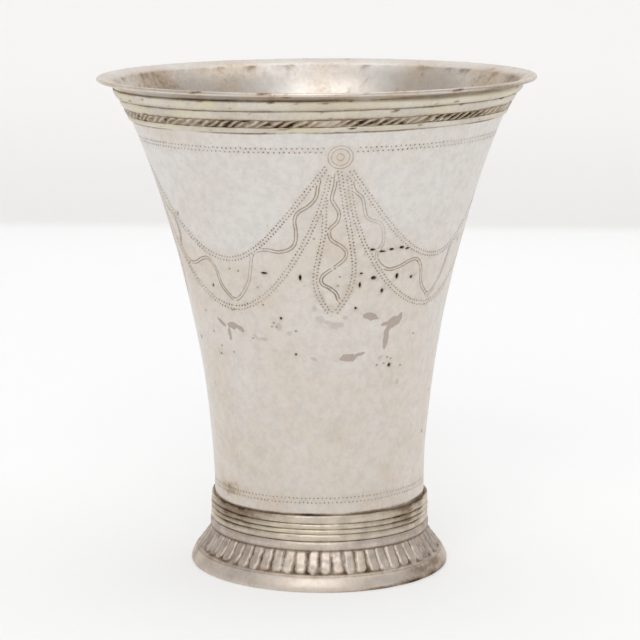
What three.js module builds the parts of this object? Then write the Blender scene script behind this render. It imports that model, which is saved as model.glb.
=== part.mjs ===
// A small silver drinking beaker with a flared mouth, a reeded rim moulding and a tongued foot ring.
// Millimetres, +Z up. The origin is on the surface that the beaker stands on, under the point where it
// balances, and -Y is the front. Profiles are written as radius and height.
import * as THREE from "three";
import { mergeVertices } from "three/addons/utils/BufferGeometryUtils.js";

// Driving dimensions of the body
const height = 100.2;
const wall = 0.8;
const bottomThickness = 1.0;
const waistRadius = 21.55;
const mouthRadius = 40.95;
const bottomCorner = 0.8;
const lipRadius = 44.1;
const lipThickness = 0.8;
const lipDepth = 1.8;

// The body's outline is one curve from the waist to the mouth, and these pull on its two ends
const waistPull = 36.7;
const mouthPullIn = 4.45;
const mouthPullDown = 4.25;

// Driving dimensions of the foot
const footHeight = 9.25;
const footRadius = 26.45;
const footTopRadius = 22.1;
const footWall = 1.0;
const footSeat = 1.8;
const flangeHeight = 2.7;
const flangeInset = 0.9;
const footHollow = 0.35;
const footEdge = 0.45;
const beadHeight = 1.85;
const beadRelief = 0.45;

// The row of tongues on the foot
const tongueCount = 60;
const tongueRelief = 0.15;
const tongueGroove = 0.35;
const tongueWidth = 1.55;
const tongueTipWidth = 0.6;
const tongueTipHeight = 0.55;

// The wires of the collar: how tall each is, how far they stand off the body, and the notches between
const collarSeatWire = 1.3;
const collarLowerWire = 1.1;
const collarUpperWire = 1.2;
const collarTopWire = 1.65;
const collarRelief = 0.85;
const collarTopRelief = 0.75;
const collarNotch = 0.5;

// The wires of the rim moulding in the same way, with a rope as the second from below
const rimLowWire = 1.05;
const rimRope = 1.55;
const rimMiddleWire = 1.8;
const rimTopWire = 2.0;
const rimLowRelief = 0.4;
const rimMiddleRelief = 0.5;
const rimTopRelief = 0.65;
const rimNotch = 0.25;

// How the pieces meet, and how the old beaker has settled out of true
const joint = 0.2;
const rimJoint = 0.12;
const bodyLean = THREE.MathUtils.degToRad(0.8);
const balanceHeight = 62;

// How finely round things are cut
const columns = 60;
const bodySteps = 9;
const insideSteps = 7;
const wireSteps = 3;

const silver = { body: 0xcfcac3, gilt: 0xd9cfb4, collar: 0xbdb2a2, foot: 0xbfb3a6 };

const at = (radius, z) => new THREE.Vector2(radius, z);

// The leaning bottom keeps clear of the foot's seat on its low side
const bodyBase = footHeight + joint + (waistRadius - bottomCorner) * Math.sin(bodyLean);
const collarBase = footHeight + joint;
const collarWires = [
  { tall: collarSeatWire, relief: collarRelief },
  { tall: collarLowerWire, relief: collarRelief },
  { tall: collarUpperWire, relief: collarRelief },
  { tall: collarTopWire, relief: collarTopRelief },
];
const rimWires = [
  { tall: rimLowWire, relief: rimLowRelief },
  { tall: rimRope, relief: rimLowRelief },
  { tall: rimMiddleWire, relief: rimMiddleRelief },
  { tall: rimTopWire, relief: rimTopRelief },
];
const bandHeight = (wires) => wires.reduce((sum, wire) => sum + wire.tall, 0);
const collarTop = collarBase + bandHeight(collarWires);
const mouthZ = height - lipDepth;

const outline = new THREE.CubicBezierCurve(
  at(waistRadius, collarTop),
  at(waistRadius, collarTop + waistPull),
  at(mouthRadius - mouthPullIn, mouthZ - mouthPullDown),
  at(mouthRadius, mouthZ),
);

// A point of the body's outline, moved square to the wall by a distance: outwards is positive
function onWall(share, distance) {
  const point = outline.getPoint(share);
  const tangent = outline.getTangent(share);
  return at(point.x + tangent.y * distance, point.y - tangent.x * distance);
}

// The share of the outline at which it reaches a height
function shareAtHeight(z) {
  let low = 0;
  let high = 1;
  while (high - low > 1e-6) {
    const middle = (low + high) / 2;
    if (outline.getPoint(middle).y < z) low = middle;
    else high = middle;
  }
  return low;
}

function arc(centre, radius, fromDegrees, toDegrees, steps) {
  return Array.from({ length: steps + 1 }, (_, i) => {
    const angle = THREE.MathUtils.degToRad(fromDegrees + ((toDegrees - fromDegrees) * i) / steps);
    return at(centre.x + radius * Math.cos(angle), centre.y + radius * Math.sin(angle));
  });
}

function metal(color, roughness) {
  return new THREE.MeshStandardMaterial({ color, roughness, metalness: 0.9 });
}

// Turns a closed profile about the Z axis
function turned(profile) {
  const geometry = new THREE.LatheGeometry(profile, columns);
  geometry.rotateX(Math.PI / 2);
  return geometry;
}

function namedMesh(name, geometry, material) {
  const mesh = new THREE.Mesh(geometry, material);
  mesh.name = name;
  return mesh;
}

// The raised body: a flat bottom, one sweeping wall and a turned-out lip, all of one sheet
function makeBody() {
  const outside = Array.from({ length: bodySteps + 1 }, (_, i) => onWall(i / bodySteps, 0));
  const inside = Array.from({ length: insideSteps + 1 }, (_, i) => onWall(1 - i / insideSteps, -wall));
  const lipEdge = at(lipRadius - lipThickness / 2, height - lipThickness / 2);
  const cornerCentre = at(waistRadius - bottomCorner, bodyBase + bottomCorner);
  const insideFloor = bodyBase + bottomThickness;
  const profile = [
    at(0, bodyBase),
    ...arc(cornerCentre, bottomCorner, -90, 0, 2),
    ...outside,
    at(mouthRadius + (lipRadius - mouthRadius) * 0.4, mouthZ + (lipDepth - lipThickness) * 0.65),
    ...arc(lipEdge, lipThickness / 2, -90, 90, 3),
    at(mouthRadius, height - (lipDepth - lipThickness) * 0.65),
    ...inside,
    at(waistRadius - wall, insideFloor + bottomCorner),
    at(waistRadius - wall - bottomCorner * 0.3, insideFloor + bottomCorner * 0.3),
    at(waistRadius - wall - bottomCorner, insideFloor),
    at(0, insideFloor),
  ];
  return namedMesh("body", turned(profile), metal(silver.body, 0.38));
}

// The outer side of a band of half-round wires: the height above its base, and how far out it stands
function wireSide(wires, notch) {
  const points = [{ up: 0, out: notch }];
  let base = 0;
  for (const wire of wires) {
    for (let i = 1; i <= wireSteps; i += 1) {
      const turn = (Math.PI * i) / wireSteps;
      const up = base + (wire.tall * (1 - Math.cos(turn))) / 2;
      const out = notch + (wire.relief - notch) * Math.sin(turn);
      points.push({ up, out });
    }
    base += wire.tall;
  }
  return points;
}

// The collar: a band of plain wires round the foot of the body
function makeCollar() {
  const inner = waistRadius + joint;
  const outer = wireSide(collarWires, collarNotch);
  const profile = [
    at(inner, collarBase),
    ...outer.map(({ up, out }) => at(waistRadius + out, collarBase + up)),
    at(inner, collarTop),
    at(inner, collarBase),
  ];
  return namedMesh("collar", turned(profile), metal(silver.collar, 0.45));
}

// The rim moulding: wires and a rope laid on the slope of the wall just under the lip
function makeRimMoulding() {
  const bottom = mouthZ - bandHeight(rimWires);
  const outer = wireSide(rimWires, rimNotch);
  const onOuter = outer.map(({ up, out }) => onWall(shareAtHeight(bottom + up), out));
  const onInner = [mouthZ, (mouthZ + bottom) / 2, bottom].map((z) => onWall(shareAtHeight(z), rimJoint));
  const profile = [...onOuter, ...onInner, onOuter[0]];
  return namedMesh("rim_moulding", turned(profile), metal(silver.gilt, 0.4));
}

// A ring of points at one height, where each column has its own angle and radius
function ring(count, z, place) {
  return Array.from({ length: count }, (_, i) => {
    const { angle, radius } = place(i);
    return new THREE.Vector3(radius * Math.cos(angle), radius * Math.sin(angle), z);
  });
}

const pitch = (2 * Math.PI) / tongueCount;

function plainRing(radius, z) {
  return ring(tongueCount, z, (i) => ({ angle: pitch * i, radius }));
}

// Three columns a tongue: the groove before it and its two shoulders
function tongueRing(radius, z, width, relief, groove) {
  return ring(3 * tongueCount, z, (i) => {
    const column = i % 3;
    const middle = pitch * ((i - column) / 3 + 0.5);
    const half = width / 2 / radius;
    if (column === 0) return { angle: middle - pitch / 2, radius: radius - groove };
    return { angle: middle + (column === 1 ? -half : half), radius: radius + relief };
  });
}

// Closes a stack of rings into one solid, and joins rings of different counts by the nearest columns
function stackGeometry(rings) {
  const starts = [];
  const positions = [];
  for (const points of rings) {
    starts.push(positions.length / 3);
    for (const point of points) positions.push(point.x, point.y, point.z);
  }
  const faces = [];
  rings.forEach((low, n) => {
    const next = (n + 1) % rings.length;
    const high = rings[next];
    let i = 0;
    let j = 0;
    while (i < low.length || j < high.length) {
      const a = starts[n] + (i % low.length);
      const b = starts[next] + (j % high.length);
      if ((i + 0.5) / low.length <= (j + 0.5) / high.length) {
        faces.push(a, starts[n] + ((i + 1) % low.length), b);
        i += 1;
      } else {
        faces.push(a, starts[next] + ((j + 1) % high.length), b);
        j += 1;
      }
    }
  });
  const geometry = new THREE.BufferGeometry();
  geometry.setAttribute("position", new THREE.Float32BufferAttribute(positions, 3));
  geometry.setIndex(faces);
  geometry.computeVertexNormals();
  return mergeVertices(geometry);
}

// The foot: a hollow flared ring with a bead on top, a row of tongues and a plain flange
function makeFoot() {
  const beadBase = footHeight - beadHeight;
  const flangeTop = footRadius - flangeInset;
  const slope = (z) => {
    const share = (z - flangeHeight) / (beadBase - flangeHeight);
    return flangeTop + (footTopRadius - flangeTop) * share - footHollow * Math.sin(Math.PI * share);
  };
  const tip = flangeHeight + tongueTipHeight;
  const shoulder = beadBase - tongueTipHeight;
  const bead = (share) => {
    const turn = Math.PI * share;
    const radius = footTopRadius + beadRelief * Math.sin(turn);
    return plainRing(radius, beadBase + (beadHeight * (1 - Math.cos(turn))) / 2);
  };
  const innerTop = waistRadius - footSeat;
  const rings = [
    plainRing(footRadius - footEdge - footWall * 0.7, 0),
    plainRing(footRadius - footEdge, 0),
    plainRing(footRadius, footEdge),
    plainRing(footRadius - flangeInset * 0.2, flangeHeight / 2),
    plainRing(flangeTop, flangeHeight),
    tongueRing(slope(tip), tip, tongueTipWidth, tongueRelief, tongueGroove),
    tongueRing(slope(tip + tongueTipHeight), tip + tongueTipHeight, tongueWidth, tongueRelief, tongueGroove),
    tongueRing(slope(shoulder), shoulder, tongueWidth, tongueRelief, tongueGroove),
    bead(0),
    bead(1 / 3),
    bead(2 / 3),
    bead(1),
    plainRing(innerTop, footHeight),
    plainRing(innerTop, beadBase + beadHeight / 2),
    plainRing(footTopRadius - footWall * 1.1, beadBase),
    plainRing(flangeTop - footWall * 1.1, flangeHeight * 0.75),
  ];
  return namedMesh("foot", stackGeometry(rings), metal(silver.foot, 0.45));
}

// The body leans a little to its left in the collar, and the rim moulding leans with it
const leaning = new THREE.Group();
leaning.position.z = bodyBase;
leaning.rotation.y = -bodyLean;
for (const mesh of [makeBody(), makeRimMoulding()]) {
  mesh.position.z = -bodyBase;
  leaning.add(mesh);
}

const beaker = new THREE.Group();
beaker.name = "beaker";
beaker.add(leaning, makeCollar(), makeFoot());
beaker.position.x = (balanceHeight - bodyBase) * Math.sin(bodyLean);

export default beaker;
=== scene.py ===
import math

import bpy
import numpy as np
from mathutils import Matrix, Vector, geometry, kdtree


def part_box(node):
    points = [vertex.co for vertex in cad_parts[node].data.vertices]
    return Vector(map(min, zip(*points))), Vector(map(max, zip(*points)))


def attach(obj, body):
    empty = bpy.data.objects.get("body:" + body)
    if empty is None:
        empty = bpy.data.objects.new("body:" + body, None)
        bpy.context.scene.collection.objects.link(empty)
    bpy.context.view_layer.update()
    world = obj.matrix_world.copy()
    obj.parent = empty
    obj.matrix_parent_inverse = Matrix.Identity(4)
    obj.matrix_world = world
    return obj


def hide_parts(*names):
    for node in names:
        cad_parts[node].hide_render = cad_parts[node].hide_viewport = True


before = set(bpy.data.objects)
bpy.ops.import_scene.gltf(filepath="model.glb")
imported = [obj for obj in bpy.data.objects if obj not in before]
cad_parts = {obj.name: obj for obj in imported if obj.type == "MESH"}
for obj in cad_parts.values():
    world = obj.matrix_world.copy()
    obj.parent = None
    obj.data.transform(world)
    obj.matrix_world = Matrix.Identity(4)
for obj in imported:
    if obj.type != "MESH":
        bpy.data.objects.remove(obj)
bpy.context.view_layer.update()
rng = np.random.default_rng(11)

MM = 0.001

# The body and how it stands, as in the solids
HEIGHT = 100.2
WALL = 0.8
BOTTOM = 1.0
WAIST_RADIUS = 21.55
WAIST_Z = 14.7
MOUTH_RADIUS = 40.95
CORNER = 0.8
LIP_RADIUS = 44.1
LIP_THICKNESS = 0.8
LIP_DEPTH = 1.8
WAIST_PULL = 36.7
MOUTH_PULL_IN = 4.45
MOUTH_PULL_DOWN = 4.25
JOINT = 0.2
LEAN = math.radians(0.8)

# The foot
FOOT_HEIGHT = 9.25
FOOT_RADIUS = 26.45
FOOT_TOP_RADIUS = 22.1
FOOT_WALL = 1.0
FOOT_SEAT = 1.8
FLANGE_HEIGHT = 2.7
FLANGE_INSET = 0.9
FOOT_HOLLOW = 0.35
FOOT_EDGE = 0.45
BEAD_HEIGHT = 1.85
BEAD_RELIEF = 0.45
TONGUES = 60
TONGUE_RELIEF = 0.16
TONGUE_GROOVE = 0.3

# The wires, from the lowest up, as (height, relief), and the notches between them
COLLAR_WIRES = ((1.45, 0.85), (1.0, 0.85), (1.12, 0.85), (1.68, 0.75))
COLLAR_NOTCH = 0.5
RIM_WIRES = ((1.05, 0.4), (1.4, 0.4), (1.8, 0.5), (2.0, 0.65))
RIM_NOTCH = 0.25
RIM_JOINT = 0.12
WIRE_STEPS = 9
BACK_ROWS = 4
ROPE_WIRE = 1
ROPE_STROKES = 112
ROPE_DEPTH = 0.26
SOLDER = 0.05

# The rim moulding and the dots below it sit a little askew: raised, and raised more on the right
ASKEW_RAISE = 0.2
ASKEW_TURN = 0.5

# The pricked work
DOT_RADIUS = 0.2
DOT_DEPTH = 0.11
DOT_POINTS = 6
DOT_CLEARANCE = 0.46
LINE_HALF_WIDTH = 0.2
LINE_DEPTH = 0.07
LINE_STEP = 0.42
LINE_CLEARANCE = 0.3
DOT_PITCH = 0.72
ROW_SPACING = 0.72
RIBBON_WIDTH = 0.54
MOTIFS = 4
MOTIF_ANGLE = 7.7
MOTIF_MIDDLES = [MOTIF_ANGLE + 360 / MOTIFS * k for k in range(MOTIFS)]

foot_low, foot_high = (np.array(corner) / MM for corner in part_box("foot"))
FOOT_X = (foot_low[0] + foot_high[0]) / 2
BODY_BASE = FOOT_HEIGHT + JOINT + (WAIST_RADIUS - CORNER) * math.sin(LEAN)
COLLAR_BASE = FOOT_HEIGHT + SOLDER
COLLAR_TOP = COLLAR_BASE + sum(tall for tall, _ in COLLAR_WIRES)
MOUTH_Z = HEIGHT - LIP_DEPTH
RIM_BASE = MOUTH_Z - sum(tall for tall, _ in RIM_WIRES)
LIP_EDGE = LIP_THICKNESS / 2


# Curves and surfaces

def bezier(points, count):
    a, b, c, d = (np.array(point, float) for point in points)
    t = np.linspace(0, 1, count)[:, None]
    s = 1 - t
    return a * s**3 + 3 * b * s * s * t + 3 * c * s * t * t + d * t**3


def arc(across, up, radius, start, end, count):
    """Points round a centre, turning from a start to an end in degrees."""
    turn = np.radians(np.linspace(start, end, count))
    return np.column_stack([across + radius * np.cos(turn), up + radius * np.sin(turn)])


def spline(points, steps=12):
    """A smooth line through the points."""
    p = np.array(points, float)
    p = np.vstack([2 * p[0] - p[1], p, 2 * p[-1] - p[-2]])
    t = np.linspace(0, 1, steps, endpoint=False)[:, None]
    parts = []
    for a, b, c, d in zip(p, p[1:], p[2:], p[3:]):
        parts.append(0.5 * (2 * b + (c - a) * t + (2 * a - 5 * b + 4 * c - d) * t**2
                            + (3 * b - a - 3 * c + d) * t**3))
    return np.vstack([*parts, p[-2:-1]])


OUTLINE = bezier([
    (WAIST_RADIUS, WAIST_Z),
    (WAIST_RADIUS, WAIST_Z + WAIST_PULL),
    (MOUTH_RADIUS - MOUTH_PULL_IN, MOUTH_Z - MOUTH_PULL_DOWN),
    (MOUTH_RADIUS, MOUTH_Z),
], 600)
OUTLINE_SLOPE = np.gradient(OUTLINE[:, 0], OUTLINE[:, 1])


def wall_radius(z):
    return np.interp(z, OUTLINE[:, 1], OUTLINE[:, 0])


def wall_slope(z):
    """How fast the wall's radius grows with height."""
    return np.where(np.asarray(z) < WAIST_Z, 0.0, np.interp(z, OUTLINE[:, 1], OUTLINE_SLOPE))


def lean(x, up):
    return x * math.cos(LEAN) - up * math.sin(LEAN), x * math.sin(LEAN) + up * math.cos(LEAN)


def settle(points, leaning):
    """Turned points, with X across and Z up, moved to where the beaker stands, and leaned if they lean."""
    x, y, z = points[..., 0], points[..., 1], points[..., 2]
    if leaning:
        x, up = lean(x, z - BODY_BASE)
        z = up + BODY_BASE
    return np.stack([x + FOOT_X, y, z], axis=-1)


def lean_directions(vectors):
    x, z = lean(vectors[:, 0], vectors[:, 2])
    return np.stack([x, vectors[:, 1], z], axis=-1)


def askew(angle):
    """How much the moulding is raised at an angle."""
    return ASKEW_RAISE + ASKEW_TURN * np.sin(np.radians(angle))


def around(radius, angle, z):
    turn = np.radians(angle)
    return np.stack(np.broadcast_arrays(radius * np.sin(turn), -radius * np.cos(turn), z), axis=-1)


def on_wall(angle, z):
    return around(wall_radius(z), angle, z)


def turned_angles(columns):
    return np.arange(columns)[None] * 360 / columns


# The radius at which the beaker's unevenness is spread, between its waist and its mouth
MEAN_RADIUS = 26


def waves(angle, z, seed, size, count=14):
    """Smooth unevenness, mostly between -1 and 1, whose bumps are about size millimetres long."""
    random = np.random.default_rng(seed)
    total = np.zeros(np.broadcast(angle, z).shape)
    for _ in range(count):
        heading = random.uniform(0, math.pi)
        length = size * random.uniform(0.7, 1.6)
        turns = round(2 * math.pi * MEAN_RADIUS * math.cos(heading) / length)
        rise = 2 * math.pi * math.sin(heading) / length
        total += np.sin(np.radians(angle) * turns + z * rise + random.uniform(0, 2 * math.pi))
    return total / math.sqrt(count) * 0.8


# Meshes

def grid_faces(rows, columns, close_rows, flip=False):
    """Quads of a grid whose columns go all the way round."""
    row_starts = np.arange(rows if close_rows else rows - 1)
    i, j = np.meshgrid(row_starts, np.arange(columns), indexing="ij")
    i_next = (i + 1) % rows
    j_next = (j + 1) % columns
    lower, upper = i * columns, i_next * columns
    quads = np.stack([lower + j, lower + j_next, upper + j_next, upper + j], axis=-1).reshape(-1, 4)
    return quads[:, ::-1] if flip else quads


def smooth_normals(points, face_groups):
    """The normal of each point, where larger faces count more. Each group holds triangles or quads."""
    total = np.zeros_like(points)
    for faces in face_groups:
        across = points[faces[:, 2]] - points[faces[:, 0]]
        along = points[faces[:, -1]] - points[faces[:, 1]]
        for corner in faces.T:
            np.add.at(total, corner, np.cross(across, along))
    return total / np.maximum(np.linalg.norm(total, axis=1, keepdims=True), 1e-12)


def swelling(angle, z, middle, height, across, up):
    """1 at a place on the beaker, and less away from it. Across is in degrees, up in millimetres."""
    aside = (angle - middle + 180) % 360 - 180
    return np.exp(-(aside / across) ** 2 - ((z - height) / up) ** 2)


def facing(angle, middle, across):
    """1 at an angle, and less away from it, at every height."""
    return swelling(angle, 0, middle, 0, across, 1)


def add_object(name, data):
    made = bpy.data.objects.new(name, data)
    bpy.context.scene.collection.objects.link(made)
    return made


MASKS = ("dirt_and_shade", "tarnish_and_shading", "gilt")


def make_piece(name, node, material, points, faces, masks, normals=None, uvs=None):
    """A piece of the beaker that stands for a CAD node. Each mask holds a value from 0 to 1 for each point,
    and uvs a pair for each corner of each face."""
    mesh = bpy.data.meshes.new(name)
    mesh.from_pydata((points * MM).tolist(), [], faces)
    for mask, values in zip(MASKS, masks):
        values = np.clip(values, 0, 1).ravel().astype(np.float32)
        mesh.attributes.new(mask, "FLOAT", "POINT").data.foreach_set("value", values)
    if uvs is not None:
        mesh.uv_layers.new(name="skin").data.foreach_set("uv", np.asarray(uvs, np.float32).ravel())
    mesh.materials.append(material)
    mesh.shade_smooth()
    if normals is not None:
        mesh.normals_split_custom_set_from_vertices(normals.tolist())
    piece = add_object(name, mesh)
    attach(piece, "root")
    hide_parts(node)


# The pricked and engraved work on the body

# The edges of a festoon's two halves, from its motif out to the middle of the festoon, as (degrees, height)
RIGHT_EDGES = (
    ((3.1, 84.8), (11.9, 77.9), (26.0, 66.4), (45.0, 66.4)),
    ((2.7, 84.5), (3.3, 70.6), (22.5, 56.5), (45.0, 56.5)),
)
LEFT_EDGES = (
    ((-4.5, 85.5), (-15.0, 77.8), (-29.0, 66.4), (-45.0, 66.4)),
    ((-3.5, 84.0), (-6.5, 72.5), (-24.0, 56.8), (-45.0, 56.5)),
)

# The ribbons that wind down the two halves of a festoon and down the pendant were drawn point by point
RIGHT_RIBBON = (
    (3.4, 83.3), (4.6, 80.9), (7.6, 79.2), (8.9, 76.6), (10.5, 75.0), (15.5, 73.8),
    (17.2, 71.5), (17.1, 69.5), (15.4, 68.2), (15.8, 66.4), (20.0, 64.6), (24.8, 64.6),
    (30.4, 65.7), (34.5, 65.9), (37.8, 63.9), (39.6, 60.7), (45.0, 58.0),
)
LEFT_RIBBON = (
    (-6.3, 84.0), (-7.3, 81.8), (-8.0, 79.6), (-10.4, 77.9), (-14.2, 76.5), (-15.6, 74.9),
    (-15.3, 72.6), (-15.9, 70.3), (-18.4, 69.0), (-22.5, 68.5), (-26.7, 68.8), (-31.0, 68.5),
    (-33.4, 67.4), (-34.9, 64.5), (-36.7, 61.8), (-41.3, 58.9), (-45.0, 58.0),
)
PENDANT_RIBBON = (
    (-1.6, 84.0), (-1.9, 81.7), (-2.8, 79.3), (-1.7, 78.0), (-0.1, 76.3), (-0.8, 74.5),
    (-3.2, 73.2), (-3.3, 71.8), (-2.2, 70.8), (1.6, 69.5), (3.3, 68.2), (2.0, 66.7),
    (-1.9, 65.2), (-5.8, 63.7), (-6.0, 62.2), (-2.8, 61.2), (-0.2, 60.1), (0.9, 58.6),
)
PENDANT_LEFT = (
    (-3.6, 83.5), (-5.1, 77.5), (-5.3, 72.6), (-7.2, 67.7), (-8.6, 63.8), (-7.9, 60.6),
    (-4.6, 57.4), (-2.2, 56.0),
)
PENDANT_RIGHT = (
    (-0.5, 84.9), (1.4, 78.7), (4.1, 72.4), (6.2, 66.8), (6.6, 63.6), (5.0, 60.2),
    (1.6, 57.4), (-0.6, 56.0),
)

# The middle and the rings of a rosette, and the rows of dots, as (height, number)
ROSETTE = (-0.4, 87.4)
ROSETTE_RINGS = (0.7, 1.75, 2.4)
ROWS_ABOVE = ((88.25, 226), (88.98, 226))
ROWS_BELOW = ((17.1, 164), (18.0, 164))
ROSETTE_GAP = 4.6
ROWS_TURN = 0.6

# Pits in the metal, as (angle, height, size across, size up). PIT_REACH of a size is half the pit's length
PIT_REACH = 0.75
PIT_STEEPNESS = 0.9
PIT_POINTS = 12
PITS = (
    (-6.8, 63.4, 0.45, 1.0), (21.1, 68.7, 0.9, 0.4), (25.2, 68.2, 1.2, 0.3), (29.1, 68.5, 0.8, 0.4),
    (33.6, 68.7, 0.9, 0.45), (36.2, 68.4, 0.8, 0.3), (22.8, 62.9, 0.9, 0.6), (17.1, 61.7, 0.4, 0.9),
    (17.4, 64.0, 0.5, 0.3), (27.1, 60.2, 0.5, 0.7), (33.3, 62.9, 0.55, 0.9), (40.7, 62.4, 0.5, 0.5),
    (15.9, 57.0, 0.4, 0.4), (-21.3, 64.1, 1.1, 0.35), (-48.2, 60.5, 0.4, 0.5), (-15.8, 55.0, 0.4, 0.45),
    (35.1, 44.6, 0.6, 0.6), (-10.0, 47.7, 0.4, 0.35), (-61.7, 74.2, 0.3, 0.5),
)

# Shallow brown specks, as (angle, height)
SPECK_RADII = (0.4, 0.33)
SPECK_DEPTH = 0.03
SPECKS = (
    (-37.1, 64.4), (-33.0, 64.1), (-24.8, 61.1), (-23.3, 57.6), (-1.2, 71.3), (8.8, 63.5), (8.1, 61.7),
    (1.3, 76.2), (6.7, 65.2), (-57.9, 54.7), (-54.0, 50.7), (-62.6, 64.3), (-42.2, 47.1), (-9.5, 52.5),
    (-30.1, 50.5), (-39.4, 55.9), (-49.9, 48.0), (41.8, 44.2), (47.7, 50.4), (28.3, 44.9), (-19.2, 54.0),
    (-18.2, 53.2), (-20.2, 53.2), (33.5, 46.3), (35.5, 45.9), (31.9, 45.1),
)

# Stains as (angle, height, half length, half width, tilt), first the brown ones and then the faint ones
BROWN_STAINS = (
    (23.0, 55.1, 1.8, 0.75, -12), (34.8, 53.5, 1.9, 1.1, 22), (31.6, 50.4, 0.65, 2.5, 0),
    (37.9, 54.2, 0.5, 1.3, -12), (30.6, 53.3, 0.9, 0.45, 10), (13.8, 46.9, 1.9, 0.85, 0),
    (18.7, 47.4, 1.6, 0.35, 10), (-47.0, 52.9, 1.5, 0.45, -32), (-40.6, 52.6, 1.6, 0.75, 0),
    (-36.2, 52.2, 1.1, 0.55, -25), (-43.0, 50.8, 0.45, 1.3, 0),
)
FAINT_STAINS = (
    (0.9, 54.9, 1.1, 0.9, 0), (4.6, 54.2, 1.5, 0.45, -18), (8.1, 53.6, 1.7, 0.7, 5),
    (-28.2, 50.7, 1.0, 0.4, -35), (-24.9, 50.5, 1.0, 0.4, 0), (-1.3, 57.3, 0.55, 0.65, 0),
    (40.9, 40.8, 0.6, 0.7, 40), (29.5, 46.4, 0.7, 0.4, 25), (11.6, 55.2, 0.6, 0.45, 0),
    (-17.0, 53.2, 0.7, 0.9, 0), (-12.5, 52.0, 0.6, 0.5, 0), (-2.0, 46.8, 0.8, 0.4, -20),
)


def walk(path, pitch, offset=0.0, start=0.0):
    """Points of a path on the wall at equal steps, moved sideways by an offset, and the path's direction."""
    path = np.asarray(path, float)
    radius = wall_radius(path[:, 1])
    rise = np.sqrt(1 + wall_slope(path[:, 1]) ** 2)
    ahead = np.diff(path, axis=0)
    across = np.radians(ahead[:, 0]) * ((radius[1:] + radius[:-1]) / 2)
    up = ahead[:, 1] * ((rise[1:] + rise[:-1]) / 2)
    lengths = np.hypot(across, up)
    along = np.concatenate([[0], np.cumsum(lengths)])
    stops = np.arange(start, along[-1], pitch)
    angle = np.interp(stops, along, path[:, 0])
    z = np.interp(stops, along, path[:, 1])
    segment = np.clip(np.searchsorted(along, stops, side="right") - 1, 0, len(lengths) - 1)
    direction = np.stack([across, up], axis=1)[segment] / lengths[segment][:, None]
    angle = angle - np.degrees(direction[:, 1] * offset / wall_radius(z))
    z = z + direction[:, 0] * offset / np.sqrt(1 + wall_slope(z) ** 2)
    return angle, z, direction


def pricked_dots():
    """Angle and height of each dot: the two pairs of rows, the festoons' edges and the pendants' edges."""
    angles, heights = [], []

    def prick(path, turn):
        for side in (-0.5, 0.5):
            angle, z, _ = walk(path, DOT_PITCH, side * ROW_SPACING, start=DOT_PITCH * (0.5 + side / 2))
            angles.append(angle + turn)
            heights.append(z)

    for rows, gap, turned in ((ROWS_ABOVE, ROSETTE_GAP, ROWS_TURN), (ROWS_BELOW, 0, 0)):
        for n, (z, count) in enumerate(rows):
            angle = SEAM + (np.arange(count) + 0.25 + 0.5 * n) * 360 / count
            near = [abs((angle - middle - ROSETTE[0] + 180) % 360 - 180) for middle in MOTIF_MIDDLES]
            angle = angle[np.min(near, axis=0) > gap]
            angles.append(angle)
            heights.append(z + turned * askew(angle))
    for middle in MOTIF_MIDDLES:
        for edge in RIGHT_EDGES + LEFT_EDGES:
            prick(bezier(edge, 60), middle)
        prick(spline(PENDANT_LEFT), middle)
        prick(spline(PENDANT_RIGHT), middle)
    return np.concatenate(angles), np.concatenate(heights)


def engraved_lines():
    """Paths of the thin engraved lines: both edges of each ribbon and the rings of the rosettes."""
    lines = []
    for middle in MOTIF_MIDDLES:
        for ribbon in (RIGHT_RIBBON, LEFT_RIBBON, PENDANT_RIBBON):
            for side in (-0.5, 0.5):
                angle, z, _ = walk(spline(ribbon), 0.4, side * RIBBON_WIDTH)
                lines.append(np.stack([angle + middle, z], axis=1))
        for ring in ROSETTE_RINGS:
            turn = np.linspace(0, 2 * math.pi, 60)
            z = ROSETTE[1] + ring * np.sin(turn) / math.sqrt(1 + wall_slope(ROSETTE[1]) ** 2)
            angle = middle + ROSETTE[0] + np.degrees(ring * np.cos(turn) / wall_radius(z))
            lines.append(np.stack([angle, z], axis=1))
    return lines


# The body: a skin of triangles that follows the pricked work, joined to turned rings

COLUMNS = 240
SEAM = MOTIF_ANGLE + 90 + 45 - 360
SEAM_CLEARANCE = 0.7
SKIN_BASE = WAIST_Z - 1.2
SKIN_TOP = RIM_BASE + 0.6
SKIN_STEP = 1.15
SPACE_CLEARANCE = 0.4
JOINT_POINTS = 700

# The unrolled wall: the radius that it is unrolled at, and the length of one unit of its UV map
FLAT_RADIUS = 28.0
SKIN_UNIT = 100


def tree_of(spots):
    """The spots, sorted so that those near a place are found quickly."""
    tree = kdtree.KDTree(len(spots))
    for i, spot in enumerate(spots):
        tree.insert(spot, i)
    tree.balance()
    return tree


def spread_apart(angle, z, least):
    """Which points to keep so that none is closer than least to one before it."""
    spots = on_wall(angle, z)
    tree = tree_of(spots)
    keep = np.ones(len(spots), bool)
    for i, spot in enumerate(spots):
        if keep[i] and any(j < i and keep[j] for _, j, _ in tree.find_range(spot, least)):
            keep[i] = False
    return keep


def turned_into_seam(angle):
    return (angle - SEAM) % 360 + SEAM


def clear_of_seam(angle):
    return (angle > SEAM + SEAM_CLEARANCE) & (angle < SEAM + 360 - SEAM_CLEARANCE)


def ring_of_points(angle, z, across, up, count, phase):
    """Points on small ellipses round each centre, with the outward direction of each."""
    turn = np.linspace(0, 2 * math.pi, count, endpoint=False)[None] + phase[:, None]
    x = np.cos(turn) * across[:, None]
    y = np.sin(turn) * up[:, None]
    ring_z = z[:, None] + y / np.sqrt(1 + wall_slope(z)[:, None] ** 2)
    ring_angle = angle[:, None] + np.degrees(x / wall_radius(z)[:, None])
    out = np.stack([np.cos(turn), np.sin(turn)], axis=-1)
    return ring_angle.ravel(), ring_z.ravel(), out.reshape(-1, 2)


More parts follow.
